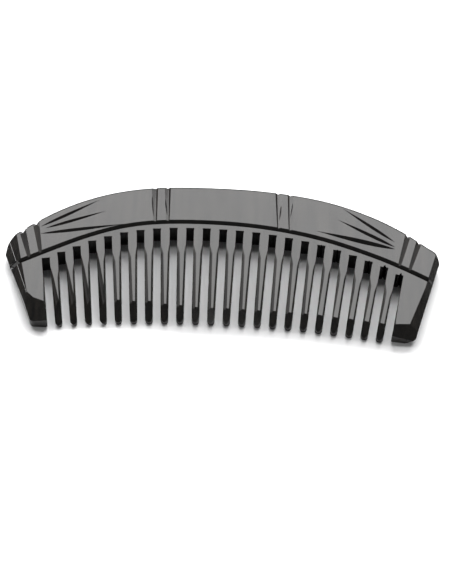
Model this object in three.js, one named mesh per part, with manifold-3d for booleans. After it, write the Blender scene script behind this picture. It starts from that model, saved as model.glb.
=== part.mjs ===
// A beard comb of polished black horn, sawn, filed and carved from one curved plate.
// Millimetres. The comb lies on its back face: X runs along it, Y from the tooth tips
// towards the crest, Z up through its thickness. Every cut in the front is repeated in the back.

import * as THREE from 'three';
import { mergeVertices } from 'three/addons/utils/BufferGeometryUtils.js';
import Module from 'manifold-3d';

const wasm = await Module();
wasm.setup();

// Driving dimensions of the plate and its teeth.
const thickness = 5;
const toothCount = 22;
const slotWidth = 2.05;
const slotPitch = 4.48; // along the curve of the saw ends
const slotMiddle = -0.3; // X of the middle slot's end
const fanLean = 10.5; // degrees that the outermost slots lean towards the middle
const tipRadius = 300; // the tooth tips lie on this shallow arc
const tipMiddle = -20.9; // Y of the tips in the middle
const seamDrop = 0.6; // the teeth begin this far below the saw ends

// Facets: how much each takes off the face, and off the edge.
const crestFacet = { across: 0.35, down: 0.35 };
const leftEndFacet = { across: 2.9, down: 1.8 };
const rightEndFacet = { across: 2, down: 1.5 };
const toothFacet = { across: 3, down: 1.5 };
const leftTipFacet = { across: 5.6, down: 1.5 };
const rightTipFacet = { across: 2.7, down: 1.5 };

// The scored line between the carved back and the tooth rail, which runs out over both ends.
const score = { width: 1.3, depth: 0.8, toSlots: 2.35 };
const scorePoints = [
  [-57, -8.4], [-46, -1.4], [-36, 4.4], [-26, 8.5], [-15, 10.5], [0, 10.9],
  [14, 9.6], [27, 6.6], [40, 1.6], [49, -2.9], [57, -7.6],
];

// The crest, from the left shoulder to the right one, as it is cut by hand.
const crestPoints = [
  [-58, -1.9], [-57.2, 1.6], [-53, 6.3], [-45, 13], [-37, 17.8], [-28, 21.3], [-18, 23.3], [-6, 24],
  [8, 23.8], [20, 22.4], [30, 20], [40, 15.8], [48, 10.9], [54.6, 5.9], [57.2, 4], [58, 2],
];

// The guard teeth's tips, by their outer and inner corners.
const guardTips = {
  left: { outer: [-48.5, -24], inner: [-44.5, -24] },
  right: { outer: [50.4, -24], inner: [44.1, -23.4] },
};
const cornerRadius = 0.9;

// The bands: pairs of grooves from the crest to the scored line, wider and deeper at the crest.
const bandGrooves = [
  { crest: [-54.2, 5.1], foot: [-51.2, -4.2], width: 2.2 },
  { crest: [-51, 8.2], foot: [-48.4, -2.5], width: 2.1 },
  { crest: [-19.9, 23.1], foot: [-18.9, 10.2], width: 2 },
  { crest: [-16.4, 23.5], foot: [-15.5, 10.6], width: 2 },
  { crest: [14.2, 23.2], foot: [14.5, 9.8], width: 1.7 },
  { crest: [17.6, 22.8], foot: [17.6, 9.1], width: 1.8 },
  { crest: [49.7, 9.8], foot: [46.8, -1.7], width: 1.5 },
  { crest: [52.6, 7.6], foot: [49.5, -2.9], width: 1.5 },
];
const bandDepth = { crest: 0.9, foot: 0.35 };
const bandFootWidth = 0.9;
const bandNotch = 0.7; // how far a band groove cuts into the crest's edge

// The fans: tapered cuts that spread from a place beside each end band.
const fanCuts = [
  { from: [-48.4, 6.4], to: [-35, 17.5], width: 0.7 },
  { from: [-47.4, 6.1], to: [-33, 13.2], width: 0.7 },
  { from: [-49, 4], to: [-27.7, 8.8], width: 0.8 },
  { from: [45.8, 6.6], to: [32.6, 18], width: 0.7 },
  { from: [45.9, 4.7], to: [30.8, 14.1], width: 0.8 },
  { from: [45.8, 4.3], to: [25.6, 9.5], width: 1.2 },
];
const fanDepth = 0.5;

const curveSteps = 4; // straight steps between the points of a curve
const reach = 0.6; // how far a cutter stands clear of what it cuts

const spot = ([x, y]) => new THREE.Vector2(x, y);
const crest = new THREE.SplineCurve(crestPoints.map(spot));
const scoreLine = new THREE.SplineCurve(scorePoints.map(spot));
const linePoints = (curve) => curve.getPoints(curveSteps * curve.points.length);
const straight = (from, to) => [spot(from), spot(to)];

// The saw slots, from left to right: the middle of each one's end, and the way it runs.
const sawEnds = new THREE.SplineCurve(linePoints(scoreLine).map((place, i, all) => {
  const along = scoreLine.getTangent(i / (all.length - 1));
  return new THREE.Vector2(along.y, -along.x).multiplyScalar(score.toSlots).add(place);
}));
const middleShare = 0.5 + (slotMiddle - sawEnds.getPointAt(0.5).x) / sawEnds.getLength();
const slots = Array.from({ length: toothCount + 1 }, (_, i) => {
  const step = i - toothCount / 2;
  const end = sawEnds.getPointAt(middleShare + (step * slotPitch) / sawEnds.getLength());
  const lean = THREE.MathUtils.degToRad((fanLean * step) / (toothCount / 2));
  const down = new THREE.Vector2(-Math.sin(lean), -Math.cos(lean));
  const halfWidth = new THREE.Vector2(-down.y, down.x).multiplyScalar(slotWidth / 2);
  return { end, down, left: end.clone().sub(halfWidth), right: end.clone().add(halfWidth) };
});

// The place on a slot's wall that is level with a given place beside it.
const levelWith = (place, wall, down) => {
  const drop = place.clone().sub(wall).dot(down);
  return wall.clone().addScaledVector(down, drop);
};

const tipLevel = (x) => tipMiddle + Math.sqrt(tipRadius ** 2 - (x - slotMiddle) ** 2) - tipRadius;

// The middle and radius of the half-round tip of the tooth between two slots.
function roundTip(slot, next) {
  const down = slot.down.clone().add(next.down).normalize();
  const root = slot.right.clone().lerp(next.left, 0.5);
  const length = (root.y - tipLevel(root.x + down.x * (root.y - tipMiddle))) / -down.y;
  const tip = root.clone().addScaledVector(down, length);
  const radius = levelWith(tip, slot.right, slot.down).distanceTo(levelWith(tip, next.left, next.down)) / 2;
  return { middle: tip.addScaledVector(down, -radius), radius, down };
}

// The outline of the whole comb: over the crest, round the right guard tooth, along the teeth
// from right to left, and round the left guard tooth.
function combOutline() {
  const shape = new THREE.Shape();
  const lineTo = (place) => shape.lineTo(place.x, place.y);
  const corner = (place, before, after) => {
    const start = place.clone().add(before.clone().sub(place).setLength(cornerRadius));
    const finish = place.clone().add(after.clone().sub(place).setLength(cornerRadius));
    lineTo(start);
    shape.quadraticCurveTo(place.x, place.y, finish.x, finish.y);
  };
  const [leftOuter, leftInner] = [spot(guardTips.left.outer), spot(guardTips.left.inner)];
  const [rightOuter, rightInner] = [spot(guardTips.right.outer), spot(guardTips.right.inner)];

  shape.moveTo(...crestPoints[0]);
  shape.splineThru(crest.points.slice(1));
  corner(rightOuter, crest.points.at(-1), rightInner);
  corner(rightInner, rightOuter, slots.at(-1).right);
  for (let i = toothCount; i > 0; i -= 1) {
    const tip = roundTip(slots[i - 1], slots[i]);
    const turn = Math.atan2(tip.down.y, tip.down.x);
    lineTo(slots[i].right);
    lineTo(slots[i].left);
    shape.absarc(tip.middle.x, tip.middle.y, tip.radius, turn + Math.PI / 2, turn - Math.PI / 2, true);
  }
  lineTo(slots[0].right);
  lineTo(slots[0].left);
  corner(leftInner, slots[0].left, leftOuter);
  corner(leftOuter, leftInner, crest.points[0]);
  return shape;
}

// Closed three.js geometry to a solid that can be cut, and back again.
function solidOf(geometry) {
  geometry.deleteAttribute('normal');
  geometry.deleteAttribute('uv');
  const merged = mergeVertices(geometry, 1e-5);
  return new wasm.Manifold(new wasm.Mesh({
    numProp: 3,
    vertProperties: new Float32Array(merged.attributes.position.array),
    triVerts: new Uint32Array(merged.index.array),
  }));
}

function geometryOf(solid) {
  const mesh = solid.getMesh();
  const geometry = new THREE.BufferGeometry();
  geometry.setAttribute('position', new THREE.BufferAttribute(mesh.vertProperties, 3));
  geometry.setIndex(new THREE.BufferAttribute(mesh.triVerts, 1));
  geometry.computeVertexNormals();
  return geometry;
}

// An outline raised from one height to another.
function prism(shape, bottom, top) {
  const geometry = new THREE.ExtrudeGeometry(shape, {
    depth: top - bottom,
    bevelEnabled: false,
    curveSegments: curveSteps,
  });
  return solidOf(geometry.translate(0, 0, bottom));
}

// A closed skin through triangular rings.
function loft(rings) {
  const index = [0, 2, 1];
  for (let first = 0; first < (rings.length - 1) * 3; first += 3) {
    for (let k = 0; k < 3; k += 1) {
      const a = first + k;
      const b = first + ((k + 1) % 3);
      index.push(a, b, a + 3, b, b + 3, a + 3);
    }
  }
  const last = (rings.length - 1) * 3;
  index.push(last, last + 1, last + 2);
  const geometry = new THREE.BufferGeometry();
  const corners = rings.flat().flatMap((place) => place.toArray());
  geometry.setAttribute('position', new THREE.Float32BufferAttribute(corners, 3));
  geometry.setIndex(index);
  return solidOf(geometry);
}

// Sweeps a triangle along a line in the front face, and its mirror image along the back face.
// A section is three [across, up] pairs: across to the right of the line, up from the face.
function sweep(line, sectionAt) {
  const rings = line.map((place, i) => {
    const along = line[Math.min(i + 1, line.length - 1)].clone().sub(line[Math.max(i - 1, 0)]).normalize();
    return sectionAt(i / (line.length - 1)).map(([across, up]) => (
      new THREE.Vector3(place.x + along.y * across, place.y - along.x * across, thickness + up)
    ));
  });
  const turnedOver = ({ x, y, z }) => new THREE.Vector3(x, y, thickness - z);
  return [loft(rings), loft(rings.map((ring) => ring.map(turnedOver).reverse()))];
}

// A V-shaped groove whose size changes along the line.
function groove(line, widthAt, depthAt) {
  return sweep(line, (share) => {
    const depth = depthAt(share);
    const across = (widthAt(share) / 2) * (1 + reach / depth);
    return [[-across, reach], [across, reach], [0, -depth]];
  });
}

// A flat facet along an edge line that has the comb on its right.
function facet(line, { across, down }) {
  const slope = down / across;
  const section = [[-reach, reach], [across + reach / slope, reach], [-reach, -down - reach * slope]];
  return sweep(line, () => section);
}

// A V-shaped notch through the crest's edge, where a band groove crosses it.
function edgeNotch({ crest: [x, y], foot, width }) {
  const outward = spot([x, y]).sub(spot(foot)).normalize();
  const tip = spot([x, y]).addScaledVector(outward, -bandNotch);
  const half = (width / 2) * (1 + reach / bandNotch);
  const mouth = spot([x, y]).addScaledVector(outward, reach);
  const side = new THREE.Vector2(-outward.y, outward.x).multiplyScalar(half);
  const shape = new THREE.Shape([tip, mouth.clone().add(side), mouth.clone().sub(side)]);
  return prism(shape, -reach, thickness + reach);
}

function bandGroove(band) {
  const outward = spot(band.crest).sub(spot(band.foot)).setLength(reach);
  const line = [spot(band.foot), spot(band.crest).add(outward)];
  return [
    ...groove(
      line,
      (share) => THREE.MathUtils.lerp(bandFootWidth, band.width, share),
      (share) => THREE.MathUtils.lerp(bandDepth.foot, bandDepth.crest, share),
    ),
    edgeNotch(band),
  ];
}

// A lens-shaped cut: it swells quickly from its root and thins out towards its point.
function fanCut({ from, to, width }) {
  const steps = 10;
  const line = Array.from({ length: steps + 1 }, (_, i) => spot(from).lerp(spot(to), i / steps));
  const swell = (share) => Math.max(0.04, Math.sin(Math.PI * share ** 0.75));
  return groove(line, (share) => width * swell(share), (share) => fanDepth * swell(share));
}

function cutters() {
  const { left, right } = guardTips;
  const crestLine = linePoints(crest);
  const along = (shoulder, guardTip, share) => shoulder.clone().lerp(spot(guardTip.outer), share);
  const tips = slots.map(({ end, down }) => {
    const x = end.x + down.x * (end.y - tipMiddle);
    return new THREE.Vector2(x, tipLevel(x));
  });
  return [
    groove(linePoints(scoreLine), () => score.width, () => score.depth),
    bandGrooves.map(bandGroove),
    fanCuts.map(fanCut),
    facet(crestLine, crestFacet),
    facet([along(crestLine[0], left, 1.1), along(crestLine[0], left, -0.5)], leftEndFacet),
    facet([along(crestLine.at(-1), right, -0.5), along(crestLine.at(-1), right, 1.1)], rightEndFacet),
    facet(tips.toReversed(), toothFacet),
    facet(straight([tips[0].x, left.inner[1]], [left.outer[0] - 1, left.outer[1]]), leftTipFacet),
    facet(straight([right.outer[0] + 1, right.outer[1]], [tips.at(-1).x, right.inner[1]]), rightTipFacet),
  ].flat(3);
}

// The comb is worked as one plate.
function wholeComb() {
  return cutters().reduce((rest, cutter) => rest.subtract(cutter), prism(combOutline(), 0, thickness));
}

// The regions that the plate's own lines divide it into, each a plan outline around it.
function regions() {
  const far = 40;
  const seams = slots.map(({ end, down }) => end.clone().addScaledVector(down, seamDrop));
  const tails = seams.map((seam, i) => seam.clone().addScaledVector(slots[i].down, far));
  const seamLeft = seams[0].clone().lerp(seams[1], -far / slotPitch);
  const seamRight = seams[toothCount].clone().lerp(seams[toothCount - 1], -far / slotPitch);
  const scored = linePoints(scoreLine);
  const [scoreStart, scoreFinish] = [scored[0], scored.at(-1)];

  const found = {
    carved_back: [...scored, spot([far * 2, scoreFinish.y]), spot([far * 2, far]), spot([-far * 2, far]),
      spot([-far * 2, scoreStart.y])],
    tooth_rail: [...scored, seamRight, ...seams.toReversed(), seamLeft],
    guard_tooth_left: [seams[0], seamLeft, spot([-far * 2, -far]), tails[0]],
    guard_tooth_right: [seams[toothCount], seamRight, spot([far * 2, -far]), tails[toothCount]],
  };
  for (let i = 0; i < toothCount; i += 1) {
    const name = `tooth_${String(i + 1).padStart(2, '0')}`;
    found[name] = [seams[i], seams[i + 1], tails[i + 1], tails[i]];
  }
  return found;
}

const colors = { carved_back: 0x17130f, tooth_rail: 0x1b1612, guard: 0x15110e, tooth: 0x191410 };

function hornFor(name) {
  const color = colors[name] ?? colors[name.split('_')[0]];
  return new THREE.MeshStandardMaterial({ color, roughness: 0.16, metalness: 0 });
}

function beardComb() {
  const comb = new THREE.Group();
  const whole = wholeComb();
  Object.entries(regions()).forEach(([name, outline]) => {
    const region = prism(new THREE.Shape(outline), -1, thickness + 1);
    const mesh = new THREE.Mesh(geometryOf(whole.intersect(region)), hornFor(name));
    mesh.name = name;
    comb.add(mesh);
  });
  return comb;
}

export default beardComb();
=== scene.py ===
import math

import bmesh
import bpy
from mathutils import Matrix, Vector


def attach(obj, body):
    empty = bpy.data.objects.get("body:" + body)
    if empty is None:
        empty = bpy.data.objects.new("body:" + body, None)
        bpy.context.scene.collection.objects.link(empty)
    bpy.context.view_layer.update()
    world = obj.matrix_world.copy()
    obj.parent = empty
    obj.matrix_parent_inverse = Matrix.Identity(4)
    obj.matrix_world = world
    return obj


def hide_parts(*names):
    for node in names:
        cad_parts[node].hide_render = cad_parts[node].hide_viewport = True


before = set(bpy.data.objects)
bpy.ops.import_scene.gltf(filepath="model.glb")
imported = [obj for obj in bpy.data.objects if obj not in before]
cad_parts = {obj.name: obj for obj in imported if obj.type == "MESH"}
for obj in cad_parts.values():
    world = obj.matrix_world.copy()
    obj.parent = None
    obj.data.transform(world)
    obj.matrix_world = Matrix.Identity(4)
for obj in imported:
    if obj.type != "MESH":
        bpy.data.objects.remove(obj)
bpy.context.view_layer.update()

# The comb lies on its back face: X runs along it, Y from the tooth tips to the crest, Z up.
# It is modelled in millimetres and brought down to metres at the end.


def only(*pieces):
    bpy.ops.object.select_all(action="DESELECT")
    for piece in pieces:
        piece.select_set(True)
    bpy.context.view_layer.objects.active = pieces[0]


def openUp(piece, choose="SELECT"):
    only(piece)
    bpy.ops.object.mode_set(mode="EDIT")
    bpy.ops.mesh.select_all(action=choose)


def closeUp():
    bpy.ops.object.mode_set(mode="OBJECT")


# Selects the faces, edges or points of the open piece that a test picks.
def pick(piece, kind, test):
    bpy.ops.mesh.select_mode(type="EDGE" if kind == "edges" else "VERT")
    bpy.ops.mesh.select_all(action="DESELECT")
    mesh = bmesh.from_edit_mesh(piece.data)
    for part in getattr(mesh, kind):
        part.select_set(bool(test(part)))
    bmesh.update_edit_mesh(piece.data)


def flat(place):
    return Vector((place[0], place[1]))


def smoothLine(points, steps):
    line = []
    for i in range(len(points) - 1):
        a, b = flat(points[max(i - 1, 0)]), flat(points[i])
        c, d = flat(points[i + 1]), flat(points[min(i + 2, len(points) - 1)])
        for k in range(steps):
            t = k / steps
            line.append(0.5 * (2 * b + (c - a) * t + (2 * a - 5 * b + 4 * c - d) * t * t
                               + (3 * b - a - 3 * c + d) * t ** 3))
    line.append(flat(points[-1]))
    return line


def lineCurve(name, places, closed, sizes=None):
    curve = bpy.data.curves.new(name, "CURVE")
    curve.dimensions = "3D" if len(places[0]) > 2 else "2D"
    curve.twist_mode = "Z_UP"
    curve.fill_mode = "NONE" if curve.dimensions == "2D" else "FULL"
    spline = curve.splines.new("POLY")
    spline.points.add(len(places) - 1)
    for i, (point, place) in enumerate(zip(spline.points, places)):
        point.co = (place[0], place[1], place[2] if len(place) > 2 else 0, 1)
        point.radius = sizes[i] if sizes else 1
    spline.use_cyclic_u = closed
    piece = bpy.data.objects.new(name, curve)
    bpy.context.scene.collection.objects.link(piece)
    return piece


# A plan outline raised between two heights.
def raised(name, ring, bottom, top):
    piece = lineCurve(name, ring, True)
    only(piece)
    bpy.ops.object.convert(target="MESH")
    openUp(piece)
    bpy.ops.mesh.remove_doubles(threshold=0.0005)
    bpy.ops.transform.translate(value=(0, 0, bottom))
    bpy.ops.mesh.edge_face_add()
    bpy.ops.mesh.extrude_region_move(TRANSFORM_OT_translate={"value": (0, 0, top - bottom)})
    bpy.ops.mesh.select_all(action="SELECT")
    bpy.ops.mesh.normals_make_consistent(inside=False)
    closeUp()
    return piece


# The section of a cut: sloping walls, a narrow round bottom and softly turned lips.
def sectionOf(tool):
    half, depth, lip, shift = tool["halfWidth"], tool["depth"], tool["lip"], tool.get("shift", 0)

    def side(way):
        run = half - way * shift
        slope = math.atan2(depth, run)
        wall = Vector((half - lip * math.cos(slope), -lip * math.sin(slope)))
        turn = Vector((half + 0.25 * lip * (1 - math.cos(slope)), -0.25 * lip * math.sin(slope)))
        face = Vector((half + lip, 0))
        clear = face + 0.7 * (face - turn)
        low = Vector((way * shift + 0.14 * run, -depth + 0.14 * depth))
        return [Vector((way * p.x, p.y)) for p in (low, wall, turn, clear, Vector((clear.x, 0.7)))]

    return lineCurve("section", [Vector((shift, -depth * 0.95))] + side(1) + side(-1)[::-1], True)


# Draws a section along a line in the front face, turns it over into the back face, or both.
def carver(name, places, sizes, tool, faces=("front", "back")):
    section = sectionOf(tool)
    piece = lineCurve(name, places, False, sizes)
    piece.data.bevel_mode = "OBJECT"
    piece.data.bevel_object = section
    piece.data.use_fill_caps = True
    only(piece)
    bpy.ops.object.convert(target="MESH")
    bpy.data.objects.remove(section)
    openUp(piece)
    bpy.ops.mesh.remove_doubles(threshold=0.0005)
    bpy.ops.transform.translate(value=(0, 0, plate["thickness"]))
    if "front" in faces and "back" in faces:
        bpy.ops.mesh.duplicate()
    if "back" in faces:
        bpy.ops.transform.resize(value=(1, 1, -1), center_override=(0, 0, plate["thickness"] / 2))
    bpy.ops.mesh.select_all(action="SELECT")
    bpy.ops.mesh.normals_make_consistent(inside=False)
    closeUp()
    return piece


def join(pieces):
    only(*pieces)
    bpy.ops.object.join()
    return bpy.context.object


def copyOf(piece, name):
    twin = piece.copy()
    twin.data = piece.data.copy()
    twin.name = name
    bpy.context.scene.collection.objects.link(twin)
    return twin


def cutWith(piece, cutter, way="DIFFERENCE"):
    only(piece)
    change = piece.modifiers.new("cut", "BOOLEAN")
    change.object = cutter
    change.operation = way
    change.solver = "EXACT"
    bpy.ops.object.modifier_apply(modifier=change.name)
    bpy.data.objects.remove(cutter)


# Files a piece flat along the plane through three places, keeping the side with the kept place.
def fileFlat(piece, places, kept):
    a, b, c = (Vector(place) for place in places)
    outward = (b - a).cross(c - a).normalized()
    if outward.dot(Vector(kept) - a) > 0:
        outward.negate()
    openUp(piece)
    bpy.ops.mesh.bisect(plane_co=a, plane_no=outward, use_fill=True, clear_outer=True)
    closeUp()


def turnedOver(places):
    return [(x, y, plate["thickness"] - z) for x, y, z in places]


def fileBothFaces(piece, places, kept):
    fileFlat(piece, places, kept)
    fileFlat(piece, turnedOver(places), kept)


def roundEdges(piece, width, segments, test):
    openUp(piece)
    pick(piece, "edges", test)
    bpy.ops.mesh.bevel(offset=width, segments=segments, affect="EDGES", clamp_overlap=True)
    closeUp()


def middleOf(edge):
    return (edge.verts[0].co + edge.verts[1].co) / 2


def wayOf(edge):
    return (edge.verts[1].co - edge.verts[0].co).normalized()


# The scored line, and how the saw cuts are set out below it.
score = {
    "points": [
        (-57, -8.4), (-46, -1.4), (-36, 4.4), (-26, 8.5), (-15, 10.5), (0, 10.9),
        (14, 9.6), (27, 6.6), (40, 1.6), (49, -2.9), (57, -7.6),
    ],
    "halfWidth": 0.7,
    "depth": 0.85,
    "lip": 0.12,
    "toSlots": 2.35,
    # how it drops over the bevelled ends, measured down from the face
    "drops": [[(-57.4, -6.6, -4.2), (-53.9, -6.3, -0.35)], [(54.6, -6.0, 0.1), (57.6, -6.4, -3.2)]],
}

sawing = {
    "teeth": 22,
    "width": 2.05,
    "pitch": 4.48,
    "middle": -0.3,
    "lean": 10.5,
    "seamDrop": 0.6,
    "tipRadius": 300.0,
    "tipMiddle": -20.9,
    "edge": 0.08,
    "unevenEnds": [0.05, 0, -0.05, 0.05, 0, 0.04, -0.04, 0, 0.05, 0, 0.03, -0.03, 0, 0.04, 0, -0.05,
                   0, 0.05, 0, 0, -0.05, 0, -0.45],
    "stroke": 40,
    # small kerfs that the saw left above some slots: slot, across, width, height
    "nicks": [(17, 0.0, 0.5, 0.35), (18, 0.1, 0.5, 0.35), (20, 0.1, 0.6, 0.4),
              (21, 0.1, 0.9, 1.0), (22, 0.35, 0.9, 1.0)],
    "nickSink": 0.05,
}


# Where the saw went: the middle of each slot's end, and the way it runs.
def sawSlots():
    line = smoothLine(score["points"], 8)
    ends = []
    for i, place in enumerate(line):
        along = (line[min(i + 1, len(line) - 1)] - line[max(i - 1, 0)]).normalized()
        ends.append(place + score["toSlots"] * Vector((along.y, -along.x)))
    travelled = [0.0]
    for a, b in zip(ends, ends[1:]):
        travelled.append(travelled[-1] + (b - a).length)

    def at(distance):
        i = max(k for k in range(len(ends) - 1) if travelled[k] <= distance)
        share = (distance - travelled[i]) / (travelled[i + 1] - travelled[i])
        return ends[i].lerp(ends[i + 1], share)

    middle = travelled[-1] / 2 + sawing["middle"] - at(travelled[-1] / 2).x
    found = []
    for i in range(sawing["teeth"] + 1):
        step = i - sawing["teeth"] / 2
        lean = math.radians(sawing["lean"] * step / (sawing["teeth"] / 2))
        down = Vector((-math.sin(lean), -math.cos(lean)))
        across = Vector((-down.y, down.x))
        end = at(middle + step * sawing["pitch"])
        found.append({
            "end": end, "down": down, "lean": lean, "across": across,
            "left": end - across * sawing["width"] / 2,
            "right": end + across * sawing["width"] / 2,
            "seam": end + down * sawing["seamDrop"],
        })
    return found


slots = sawSlots()


def placed(piece, slot, shift=(0, 0)):
    piece.rotation_euler = (0, 0, -slot["lean"])
    place = slot["end"] + slot["across"] * shift[0] - slot["down"] * shift[1]
    piece.location = (place.x, place.y, 0)
    only(piece)
    bpy.ops.object.transform_apply(location=True, rotation=True, scale=True)
    return piece


plate = {
    "thickness": 5.0,
    "rimWidth": 0.42,
    "rimDrop": 0.14,
    "cornerRounding": 0.9,
    "ridgeRounding": 0.28,
    "tipRounding": 0.28,
    "crestPoints": [
        (-58, -1.9), (-57.2, 1.6), (-53, 6.3), (-45, 13), (-37, 17.8), (-28, 21.3), (-18, 23.3), (-6, 24),
        (8, 23.8), (20, 22.4), (30, 20), (40, 15.8), (48, 10.9), (54.2, 5.8), (56.6, 3.8), (57.8, 1.4),
        (57.3, -0.6),
    ],
    "rightTip": [(50.4, -24), (44.1, -23.4)],
    "leftTip": [(-44.5, -24), (-48.5, -24)],
    # Flat filed faces on the two ends. Each is three places on its plane.
    "filedOnBothFaces": {
        "left inner bevel": [(-55.06, 1.66, 5), (-50.08, -16.54, 5), (-54.33, -6.0, 4.28)],
        "right bevel": [(56.45, 2.0, 5), (48.85, -24.0, 5), (50.4, -24.0, 3.5)],
        "right lower bevel": [(54.3, -6.1, 5), (48.68, -21.2, 5), (50.55, -23.5, 3.3)],
    },
    "filedOnFront": {
        "left tip corner": [(-49.95, -16.5, 5), (-48.32, -18.1, 5), (-49.5, -22.0, 3.6)],
        "left tip": [(-48.32, -18.1, 5), (-46.42, -18.84, 5), (-46.5, -24.0, 2.6)],
        "left outer bevel": [(-54.33, -6.0, 4.28), (-50.3, -16.4, 4.9), (-54.1, -11.0, 3.15)],
        "right tip": [(48.68, -21.2, 5), (44.84, -21.43, 5), (47.0, -24.0, 1.5)],
    },
}
middleHeight = plate["thickness"] / 2


def makePlate():
    crest = smoothLine(plate["crestPoints"], 6)
    corners = [flat(p) for p in plate["rightTip"] + plate["leftTip"]]
    rim = plate["rimDrop"]
    piece = raised("plate", crest + corners, rim, plate["thickness"] - rim)
    roundEdges(piece, plate["cornerRounding"], 8, lambda edge: abs(wayOf(edge).z) > 0.9
               and any((middleOf(edge).xy - corner).length < 0.1 for corner in corners))
    # A narrow sloped rim runs round both faces.
    openUp(piece)
    for way in (1, -1):
        pick(piece, "faces", lambda face: face.normal.z * way > 0.99)
        bpy.ops.mesh.inset(thickness=plate["rimWidth"], depth=rim)
    closeUp()
    for places in plate["filedOnBothFaces"].values():
        fileBothFaces(piece, places, (0, 0, middleHeight))
    for places in plate["filedOnFront"].values():
        fileFlat(piece, places, (0, 0, middleHeight))

    def filed(face):
        return 0.5 < abs(face.normal.z) < 0.97 and face.calc_area() > 4

    def onRidge(edge):
        faces = edge.link_faces
        return (len(faces) == 2 and all(filed(face) for face in faces)
                and middleOf(edge).x < 0 and edge.calc_length() > 5)

    def atTips(edge):
        upright = any(abs(face.normal.z) < 0.1 and face.normal.y < -0.6 for face in edge.link_faces)
        level = any(abs(face.normal.z) > 0.4 for face in edge.link_faces)
        return upright and level and abs(wayOf(edge).z) < 0.85

    roundEdges(piece, plate["ridgeRounding"], 3, onRidge)
    roundEdges(piece, plate["tipRounding"], 6, atTips)
    return piece


# A four-sided pin, taller than the plate is thick, for kerfs and notches.
def makeDiamond(halfWidth, halfLength):
    bpy.ops.mesh.primitive_cylinder_add(vertices=4, radius=1, depth=plate["thickness"] + 2)
    piece = bpy.context.object
    openUp(piece)
    bpy.ops.transform.resize(value=(halfWidth, halfLength, 1), center_override=(0, 0, 0))
    closeUp()
    only(piece)
    return piece


# One saw cut, a little wider at the two faces so that its edges are broken.
def makeSawCut():
    width, edge, stroke, thickness = sawing["width"], sawing["edge"], sawing["stroke"], plate["thickness"]
    above = 0.5
    bpy.ops.mesh.primitive_cube_add(size=1)
    piece = bpy.context.object
    openUp(piece)
    bpy.ops.transform.resize(value=(width, stroke, thickness + 2 * above), center_override=(0, 0, 0))
    bpy.ops.transform.translate(value=(0, -stroke / 2, thickness / 2))
    for height in (edge, thickness - edge):
        bpy.ops.mesh.select_all(action="SELECT")
        bpy.ops.mesh.bisect(plane_co=(0, 0, height), plane_no=(0, 0, 1))
    spread = above + edge
    pick(piece, "verts", lambda vert: vert.co.z < -0.1 or vert.co.z > thickness + 0.1)
    bpy.ops.transform.resize(value=((width + 2 * spread) / width, 1, 1), center_override=(0, 0, 0))
    bpy.ops.transform.resize(value=(1, (stroke + spread) / stroke, 1), center_override=(0, -stroke, 0))
    closeUp()
    return piece


def sawPlate(piece):
    first = makeSawCut()
    cuts = []
    for i, slot in enumerate(slots):
        cuts.append(placed(copyOf(first, "saw cut"), slot, (0, sawing["unevenEnds"][i])))
    bpy.data.objects.remove(first)
    cutWith(piece, join(cuts))

    kerfs = []
    for i, across, width, height in sawing["nicks"]:
        kerf = makeDiamond(width / 2, height)
        kerf.location = (0, 0, middleHeight)
        bpy.ops.object.transform_apply(location=True, rotation=True, scale=True)
        kerfs.append(placed(kerf, slots[i], (across, sawing["unevenEnds"][i] - sawing["nickSink"])))
    cutWith(piece, join(kerfs))


bands = {
    "halfWidth": 0.85,
    "depth": 0.9,
    "lip": 0.14,
    "steps": 6,
    "footSize": 0.5,
    "swell": 0.8,
    "overshoot": 0.8,
    "notch": 0.3,
    "notchWidth": 0.55,
    "notchReach": 0.55,
    "grooves": [
        {"crest": (-54.2, 5.1), "foot": (-51.2, -4.2), "size": 1.1},
        {"crest": (-51, 8.2), "foot": (-48.4, -2.5), "size": 1.05},
        {"crest": (-19.9, 23.1), "foot": (-18.9, 10.2), "size": 1.1, "shift": 0.35, "depth": 0.32},
        {"crest": (-16.4, 23.5), "foot": (-15.5, 10.6), "size": 1.1, "shift": 0.35, "depth": 0.32},
        {"crest": (14.4, 23.2), "foot": (14.7, 9.8), "size": 1.0, "shift": -0.35, "depth": 0.32},
        {"crest": (17.8, 22.8), "foot": (17.8, 9.1), "size": 1.0, "shift": -0.35, "depth": 0.32},
        {"crest": (49.7, 9.8), "foot": (46.8, -1.7), "size": 0.9},
        {"crest": (52.6, 7.6), "foot": (49.5, -2.9), "size": 0.9},
    ],
}

# Thin slivers that the graver left beside the middle bands.
slivers = {
    "halfWidth": 0.3,
    "depth": 0.35,
    "lip": 0.06,
    "cuts": [
        {"from": (-20.4, 19.8), "to": (-19.3, 11.3), "size": 0.8},
        {"from": (-16.7, 18.9), "to": (-15.5, 11.5), "size": 0.9},
        {"from": (15.2, 18.5), "to": (14.7, 11.9), "size": 0.8},
        {"from": (18.4, 19.8), "to": (17.5, 11.9), "size": 0.8},
    ],
}

fans = {
    "halfWidth": 0.5,
    "depth": 0.55,
    "lip": 0.08,
    "cuts": [
        {"from": (-49.4, 6.6), "to": (-34.6, 17.5), "size": 0.95},
        {"from": (-48.0, 6.1), "to": (-32.6, 13.4), "size": 0.95},
        {"from": (-49.2, 4), "to": (-27.2, 8.9), "size": 1.1},
        {"from": (45.9, 6.9), "to": (32.2, 18.4), "size": 0.95},
        {"from": (46.0, 5.0), "to": (30.8, 14.1), "size": 1.1},
        {"from": (45.9, 4.3), "to": (25.0, 9.6), "size": 1.5},
    ],
}

# How the fan cuts and slivers swell and run out.
taper = {"steps": 12, "thinnest": 0.05, "peak": 0.75}


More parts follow.
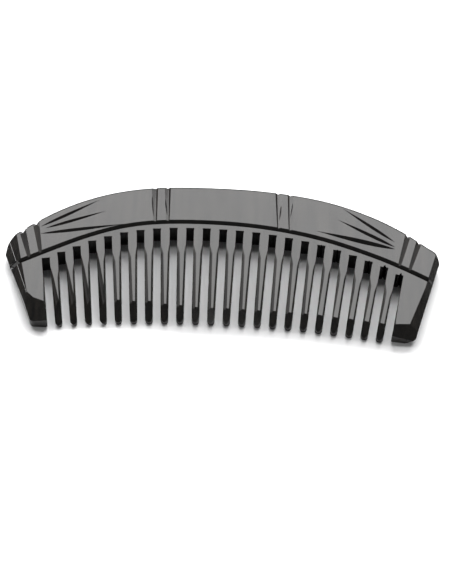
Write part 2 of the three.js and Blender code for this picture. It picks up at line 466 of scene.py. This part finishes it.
def carvePlate(piece):
    line = smoothLine(score["points"], 5)
    cutWith(piece, carver("scored line", line, [1] * len(line), score))
    for face in ("front", "back"):
        cutWith(piece, join([carver("score end", ends, [1, 1], score, [face]) for ends in score["drops"]]))

    # Each band groove is finer at its foot, and notches the crest where it runs out.
    grooves, notches = [], []
    footSize = bands["footSize"]
    shares = [k / bands["steps"] for k in range(bands["steps"] + 1)]
    for band in bands["grooves"]:
        foot, crest = flat(band["foot"]), flat(band["crest"])
        outward = (crest - foot).normalized()
        outer = crest + outward * bands["overshoot"]
        places = [foot.lerp(outer, share) for share in shares]
        sizes = [band["size"] * (footSize + (1 - footSize) * share ** bands["swell"]) for share in shares]
        grooves.append(carver("band groove", places, sizes, {**bands, **band}))

        length = bands["notch"] + bands["notchReach"]
        notch = makeDiamond(bands["notchWidth"] * band["size"] * length / bands["notch"], length)
        place = crest + outward * bands["notchReach"]
        notch.location = (place.x, place.y, middleHeight)
        notch.rotation_euler = (0, 0, math.atan2(-outward.x, outward.y))
        bpy.ops.object.transform_apply(location=True, rotation=True, scale=True)
        notches.append(notch)
    cutWith(piece, join(grooves))
    cutWith(piece, join(notches))

    def taperedCuts(tool, wanted):
        cuts = []
        shares = [k / taper["steps"] for k in range(taper["steps"] + 1)]
        for cut in wanted:
            start, finish = flat(cut["from"]), flat(cut["to"])
            places = [start.lerp(finish, share) for share in shares]
            sizes = [cut["size"] * max(taper["thinnest"], math.sin(math.pi * share ** taper["peak"]))
                     for share in shares]
            cuts.append(carver("tapered cut", places, sizes, tool))
        cutWith(piece, join(cuts))

    for pair in zip(fans["cuts"][:3], fans["cuts"][3:]):
        taperedCuts(fans, pair)
    taperedCuts(slivers, slivers["cuts"])


# The plate's own regions, with the same seams as the fixed frame.
def regionRings():
    far = 40  # well clear of the comb
    seams = [slot["seam"] for slot in slots]
    seamLeft = seams[0].lerp(seams[1], -far / sawing["pitch"])
    seamRight = seams[-1].lerp(seams[-2], -far / sawing["pitch"])
    scored = smoothLine(score["points"], 5)
    besideLeft = seams[0] + slots[0]["down"] * far
    besideRight = seams[-1] + slots[-1]["down"] * far
    return {
        "carved_back": scored + [flat((2 * far, scored[-1].y)), flat((2 * far, far)), flat((-2 * far, far)),
                                 flat((-2 * far, scored[0].y))],
        "tooth_rail": scored + [seamRight] + seams[::-1] + [seamLeft],
        "guard_tooth_left": [seams[0], seamLeft, flat((-2 * far, -far)), besideLeft],
        "guard_tooth_right": [seams[-1], seamRight, flat((2 * far, -far)), besideRight],
    }


def tipLevel(x):
    radius = sawing["tipRadius"]
    return sawing["tipMiddle"] + math.sqrt(radius ** 2 - (x - sawing["middle"]) ** 2) - radius


# How the teeth are filed: the length of each tip face, and the strokes on their long edges.
toothFiling = {
    "tipLengths": [5.0, 5.0, 5.0, 4.8, 4.4, 3.9, 3.9, 3.0, 2.6, 2.1, 2.0, 2.1, 2.1, 2.1, 2.3, 2.3,
                   2.4, 2.4, 2.3, 2.4, 2.4, 2.5],
    "tipDrop": 4.1,
    "tipSkew": 7.0,
    "tipRound": 0.17,
    "tipStrokes": 10,
    "tipSpare": 0.3,
    # each bevel is filed by strokes: along the tooth, across the face, down the wall
    "left": [[(5.8, 0.0), (9.2, 0.75)], [(8.4, 0.68), (20.0, 0.84)]],
    "leftOfFirst": [[(3.0, 0.0), (6.0, 0.45)], [(4.5, 0.35), (18.0, 1.75)]],
    "leftOfLast": [[(5.4, 0.0), (9.0, 0.8)], [(8.0, 0.68), (15.0, 0.68)], [(10.0, 0.75), (24.0, 0.35)]],
    "right": [[(5.8, 0.0), (9.2, 0.42)], [(8.4, 0.38), (20.0, 0.46)]],
    "firstTeeth": 4,
    "lastTeeth": 5,
    "steepness": 0.88,
    "backShare": 0.6,
}


def makeBlock(size, middle):
    bpy.ops.mesh.primitive_cube_add(size=1)
    piece = bpy.context.object
    openUp(piece)
    bpy.ops.transform.resize(value=size, center_override=(0, 0, 0))
    bpy.ops.transform.translate(value=middle)
    closeUp()
    return piece


# Files a piece upright along the line between two places in plan.
def fileUpright(piece, a, b, kept):
    fileFlat(piece, [(a.x, a.y, 0), (b.x, b.y, 0), (a.x, a.y, plate["thickness"])], kept)


# Files one long edge of a tooth, on one face, by flat strokes. Where two overlap, the shallower one counts.
def fileLongEdge(piece, strokes, wall, down, outward, face, middle):
    waste = makeBlock((60, 60, 60), middle)
    level = plate["thickness"] if face > 0 else 0
    outer = wall + outward * 3 + down * 10
    share = 1 if face > 0 else toothFiling["backShare"]
    for (alongA, wideA), (alongB, wideB) in strokes:
        wideA, wideB = wideA * share, wideB * share
        a = wall + down * alongA - outward * wideA
        b = wall + down * alongB - outward * wideB
        c, wide = (wall + down * alongA, wideA) if wideA > 0 else (wall + down * alongB, wideB)
        lower = level - face * wide * toothFiling["steepness"]
        fileFlat(waste, [(a.x, a.y, level), (b.x, b.y, level), (c.x, c.y, lower)],
                 (outer.x, outer.y, level + face * 3))
    openUp(waste)
    bpy.ops.mesh.convex_hull()
    closeUp()
    cutWith(piece, waste)


# The tip is rounded in plan, filed thin from the front, and its rim is rounded.
def fileTip(piece, tip, down, across, half, length, middle):
    centre = tip - down * half
    for k in range(1, toothFiling["tipStrokes"] + 1):
        turn = math.pi * (k / (toothFiling["tipStrokes"] + 1) - 0.5)
        outward = down * math.cos(turn) + across * math.sin(turn)
        touch = centre + outward * half
        fileUpright(piece, touch, touch + Vector((-outward.y, outward.x)), middle)
    thickness = plate["thickness"]
    back = tip - down * length
    side = back + across + down * math.tan(math.radians(toothFiling["tipSkew"]))
    thin = thickness - toothFiling["tipDrop"]
    kept = back - down
    fileFlat(piece, [(back.x, back.y, thickness), (side.x, side.y, thickness), (tip.x, tip.y, thin)],
             (kept.x, kept.y, middleHeight))

    def onTip(edge):
        upright = any(abs(face.normal.z) < 0.1 for face in edge.link_faces)
        level = any(abs(face.normal.z) > 0.4 for face in edge.link_faces)
        return upright and level and (middleOf(edge).xy - tip).dot(down) > -half * 0.97

    roundEdges(piece, toothFiling["tipRound"], 5, onTip)


def makeTooth(i):
    before, after = slots[i], slots[i + 1]
    down = (before["down"] + after["down"]).normalized()
    across = Vector((-down.y, down.x))
    root = before["right"].lerp(after["left"], 0.5)
    tip = root + down * ((root.y - tipLevel(root.x + down.x * (root.y - sawing["tipMiddle"]))) / -down.y)
    centre = root.lerp(tip, 0.5)
    middle = (centre.x, centre.y, middleHeight)
    piece = makeBlock((12, 40, plate["thickness"]), middle)
    piece.name = "tooth"

    spare = tip + down * toothFiling["tipSpare"]
    for a, b in ((before["right"], before["right"] + before["down"]),
                 (after["left"], after["left"] + after["down"]),
                 (before["seam"], after["seam"]), (spare, spare + across)):
        fileUpright(piece, a, b, middle)
    tipHalf = max(abs((vert.co.xy - tip).dot(across)) for vert in piece.data.vertices
                  if (vert.co.xy - tip).dot(down) > -0.01)

    lefts = toothFiling["left"]
    if i < toothFiling["firstTeeth"]:
        lefts = toothFiling["leftOfFirst"]
    elif i >= sawing["teeth"] - toothFiling["lastTeeth"]:
        lefts = toothFiling["leftOfLast"]
    for face in (1, -1):
        fileLongEdge(piece, lefts, before["right"], before["down"], -across, face, middle)
    for face in (1, -1):
        fileLongEdge(piece, toothFiling["right"], after["left"], after["down"], across, face, middle)
    fileTip(piece, tip, down, across, tipHalf, toothFiling["tipLengths"][i], middle)
    return piece


# The inner edges of the guard teeth are filed off towards their tips, between two places along them.
guardFiling = {"from": 5, "to": 18, "leftWidth": 0.55, "rightWidth": 0.35}


def fileGuards(pieces):
    left, right = slots[0], slots[-1]
    for piece, start, slot, way, wide in (
        (pieces["guard_tooth_left"], left["left"], left, -1, guardFiling["leftWidth"]),
        (pieces["guard_tooth_right"], right["right"], right, 1, guardFiling["rightWidth"]),
    ):
        thickness = plate["thickness"]
        inward = slot["across"] * way
        a = start + slot["down"] * guardFiling["from"]
        b = start + slot["down"] * guardFiling["to"]
        c = b + inward * wide
        kept = a + inward * 3
        fileBothFaces(piece, [(a.x, a.y, thickness), (c.x, c.y, thickness), (b.x, b.y, thickness - wide)],
                      (kept.x, kept.y, middleHeight))


def shaderNode(material, kind, **values):
    node = material.node_tree.nodes.new(kind)
    for name, value in values.items():
        node.inputs[name].default_value = value
    return node


hornLook = {
    "IOR": 1.54,
    "dark": (0.0032, 0.0030, 0.0030, 1),
    "light": (0.0190, 0.0165, 0.0140, 1),
    "streakScale": 700,
    "polish": (0.09, 0.16),
    "sawnDullness": 0.34,
    "rootBow": 6.1,
    "waveHeight": 0.25,
}


def blackHorn():
    material = bpy.data.materials.new("polished black horn")
    material.use_nodes = True
    nodes, links = material.node_tree.nodes, material.node_tree.links
    shader = nodes["Principled BSDF"]
    shader.inputs["IOR"].default_value = hornLook["IOR"]
    place = nodes.new("ShaderNodeTexCoord")

    def noise(scale, size, detail=3.0, rough=0.5):
        stretch = shaderNode(material, "ShaderNodeMapping", Scale=scale)
        links.new(place.outputs["Object"], stretch.inputs["Vector"])
        spots = shaderNode(material, "ShaderNodeTexNoise", Scale=size, Detail=detail, Roughness=rough)
        links.new(stretch.outputs["Vector"], spots.inputs["Vector"])
        return spots.outputs["Fac"]

    def remap(value, low, high, toLow, toHigh):
        node = nodes.new("ShaderNodeMapRange")
        for name, number in zip(("From Min", "From Max", "To Min", "To Max"), (low, high, toLow, toHigh)):
            node.inputs[name].default_value = number
        links.new(value, node.inputs["Value"])
        return node.outputs["Result"]

    def reckon(kind, a, b):
        node = nodes.new("ShaderNodeMath")
        node.operation = kind
        for socket, value in zip(node.inputs, (a, b)):
            if isinstance(value, (int, float)):
                socket.default_value = value
            else:
                links.new(value, socket)
        return node.outputs[0]

    # growth streaks that run the way the teeth do
    streaks = noise((1.0, 0.07, 0.5), hornLook["streakScale"], 5, 0.6)
    tint = nodes.new("ShaderNodeValToRGB")
    tint.color_ramp.elements[0].position = 0.35
    tint.color_ramp.elements[0].color = hornLook["dark"]
    tint.color_ramp.elements[1].position = 0.75
    tint.color_ramp.elements[1].color = hornLook["light"]
    links.new(streaks, tint.inputs["Fac"])
    links.new(tint.outputs["Color"], shader.inputs["Base Color"])

    # the sawn walls between the teeth are duller than the polished faces
    normal = nodes.new("ShaderNodeNewGeometry")
    facing = nodes.new("ShaderNodeSeparateXYZ")
    links.new(normal.outputs["Normal"], facing.inputs[0])
    upright = remap(reckon("ABSOLUTE", facing.outputs["Z"], 0), 0.1, 0.4, 1, 0)
    spot = nodes.new("ShaderNodeSeparateXYZ")
    links.new(place.outputs["Object"], spot.inputs[0])
    bow = reckon("MULTIPLY", reckon("MULTIPLY", spot.outputs["X"], spot.outputs["X"]), hornLook["rootBow"])
    below = remap(reckon("ADD", spot.outputs["Y"], bow), 0.0092, 0.0098, 1, 0)
    between = remap(reckon("ABSOLUTE", spot.outputs["X"], 0), 0.0481, 0.0485, 1, 0)
    sawn = reckon("MULTIPLY", reckon("MULTIPLY", upright, below), between)
    polish = remap(noise((1.0, 0.3, 1.0), 260, 3, 0.6), 0.3, 0.7, *hornLook["polish"])
    rough = reckon("ADD", polish, reckon("MULTIPLY", sawn, hornLook["sawnDullness"]))
    links.new(rough, shader.inputs["Roughness"])

    # a slightly wavy hand polish with fine scratches
    waves = noise((1.0, 0.4, 1.0), 160, 2, 0.4)
    scratches = noise((1.0, 0.05, 1.0), 5200, 2, 0.5)
    height = reckon("ADD", waves, reckon("MULTIPLY", scratches, 0.05))
    bump = shaderNode(material, "ShaderNodeBump", Strength=hornLook["waveHeight"], Distance=0.00004)
    links.new(height, bump.inputs["Height"])
    links.new(bump.outputs["Normal"], shader.inputs["Normal"])
    return material


def finishPiece(piece, node, material):
    openUp(piece)
    bpy.ops.mesh.remove_doubles(threshold=0.002)
    bpy.ops.mesh.dissolve_degenerate(threshold=0.001)
    bpy.ops.mesh.select_all(action="SELECT")
    bpy.ops.mesh.normals_make_consistent(inside=False)
    bpy.ops.transform.resize(value=(0.001, 0.001, 0.001), center_override=(0, 0, 0))
    closeUp()
    only(piece)
    bpy.ops.object.shade_smooth_by_angle(angle=math.radians(15))
    even = piece.modifiers.new("even faces", "WEIGHTED_NORMAL")
    even.keep_sharp = True
    even.weight = 100
    bpy.ops.object.modifier_apply(modifier=even.name)
    piece.name = node.replace("_", "-")
    piece.data.materials.clear()
    piece.data.materials.append(material)
    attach(piece, "root")
    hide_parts(node)


def makeFloor():
    bpy.ops.mesh.primitive_plane_add(size=4, location=(0, 0, -0.00002))
    floor = bpy.context.object
    floor.name = "floor"
    material = bpy.data.materials.new("white table")
    material.use_nodes = True
    nodes, links = material.node_tree.nodes, material.node_tree.links
    shader = nodes["Principled BSDF"]
    shader.inputs["Roughness"].default_value = 0.7
    place = nodes.new("ShaderNodeTexCoord")
    spots = shaderNode(material, "ShaderNodeTexNoise", Scale=30, Detail=3)
    links.new(place.outputs["Object"], spots.inputs["Vector"])
    tint = nodes.new("ShaderNodeValToRGB")
    tint.color_ramp.elements[0].color = (0.84, 0.84, 0.85, 1)
    tint.color_ramp.elements[1].color = (0.87, 0.87, 0.87, 1)
    links.new(spots.outputs["Fac"], tint.inputs["Fac"])
    links.new(tint.outputs["Color"], shader.inputs["Base Color"])
    floor.data.materials.append(material)


# Soft lamps, each by its way from the comb. Those that aren't mirrored in the polish light the table.
lamps = {
    "back softbox": {"azimuth": 0, "elevation": 50.5, "distance": 1.1,
                     "size": (1.5, 0.4), "brightness": 4.2, "mirrored": True},
    "ridge lamp": {"azimuth": -64, "elevation": 16, "distance": 1.0,
                   "size": (0.12, 0.12), "brightness": 9.0, "mirrored": True},
    "left lamp": {"azimuth": -50, "elevation": 11, "distance": 1.0,
                  "size": (0.4, 0.18), "brightness": 0.75, "mirrored": True},
    "high table lamp": {"azimuth": 0, "elevation": 64, "distance": 1.1,
                        "size": (1.5, 0.12), "brightness": 8.0},
    "middle table lamp": {"azimuth": 0, "elevation": 40, "distance": 1.1,
                          "size": (1.5, 0.2), "brightness": 20.0},
    "low table lamp": {"azimuth": 0, "elevation": 28.5, "distance": 1.1,
                       "size": (1.5, 0.212), "brightness": 11.0},
    "left side lamp": {"azimuth": -120, "elevation": 25, "distance": 1.1,
                       "size": (1.0, 0.5), "brightness": 0.7},
    "right side lamp": {"azimuth": 120, "elevation": 25, "distance": 1.1,
                        "size": (1.0, 0.5), "brightness": 0.7},
}
roomStrength = 0.15


def makeLamps():
    for name, lamp in lamps.items():
        turn, rise = math.radians(lamp["azimuth"]), math.radians(lamp["elevation"])
        way = Vector((math.sin(turn) * math.cos(rise), math.cos(turn) * math.cos(rise), math.sin(rise)))
        light = bpy.data.lights.new(name, "AREA")
        light.shape = "RECTANGLE"
        light.size, light.size_y = lamp["size"]
        light.energy = lamp["brightness"] * math.pi * light.size * light.size_y
        holder = bpy.data.objects.new(name, light)
        holder.location = way * lamp["distance"]
        holder.rotation_mode = "QUATERNION"
        holder.rotation_quaternion = way.to_track_quat("Z", "Y")
        holder.visible_glossy = lamp.get("mirrored", False)
        bpy.context.scene.collection.objects.link(holder)
    world = bpy.data.worlds.new("dim room")
    world.use_nodes = True
    background = world.node_tree.nodes["Background"]
    background.inputs["Color"].default_value = (1, 1, 1, 1)
    background.inputs["Strength"].default_value = roomStrength
    bpy.context.scene.world = world


view = {
    "aim": (0.00127, -0.0134, 0.005),
    "distance": 0.35,
    "tilt": 40.0,
    "turn": 0.47,
    "roll": 2.32,
    "lens": 83.1,
}


def makeCamera():
    lens = bpy.data.cameras.new("camera")
    lens.lens = view["lens"]
    lens.clip_start, lens.clip_end = 0.01, 10
    camera = bpy.data.objects.new("camera", lens)
    turn = Matrix.Rotation(math.radians(view["turn"]), 4, "Z")
    tilt = Matrix.Rotation(math.radians(view["tilt"]), 4, "X")
    roll = Matrix.Rotation(math.radians(view["roll"]), 4, "Z")
    back = Matrix.Translation((0, 0, view["distance"]))
    camera.matrix_world = Matrix.Translation(view["aim"]) @ turn @ tilt @ roll @ back
    bpy.context.scene.collection.objects.link(camera)
    bpy.context.scene.camera = camera


makeCamera()
makeLamps()
makeFloor()
print("camera, lamps and table set")
bpy.context.scene.view_settings.view_transform = "Standard"

horn = blackHorn()
whole = makePlate()
print("plate:", len(whole.data.polygons), "faces")
sawPlate(whole)
print("sawn:", len(whole.data.polygons), "faces")
carvePlate(whole)
print("carved:", len(whole.data.polygons), "faces")

parts = {}
for name, ring in regionRings().items():
    parts[name] = copyOf(whole, name)
    cutWith(parts[name], raised("region", ring, -1, 6), "INTERSECT")
    print(name, len(parts[name].data.polygons), "faces")
bpy.data.objects.remove(whole)
fileGuards(parts)
for i in range(sawing["teeth"]):
    parts[f"tooth_{i + 1:02d}"] = makeTooth(i)
print("teeth filed")
for name, piece in parts.items():
    finishPiece(piece, name, horn)
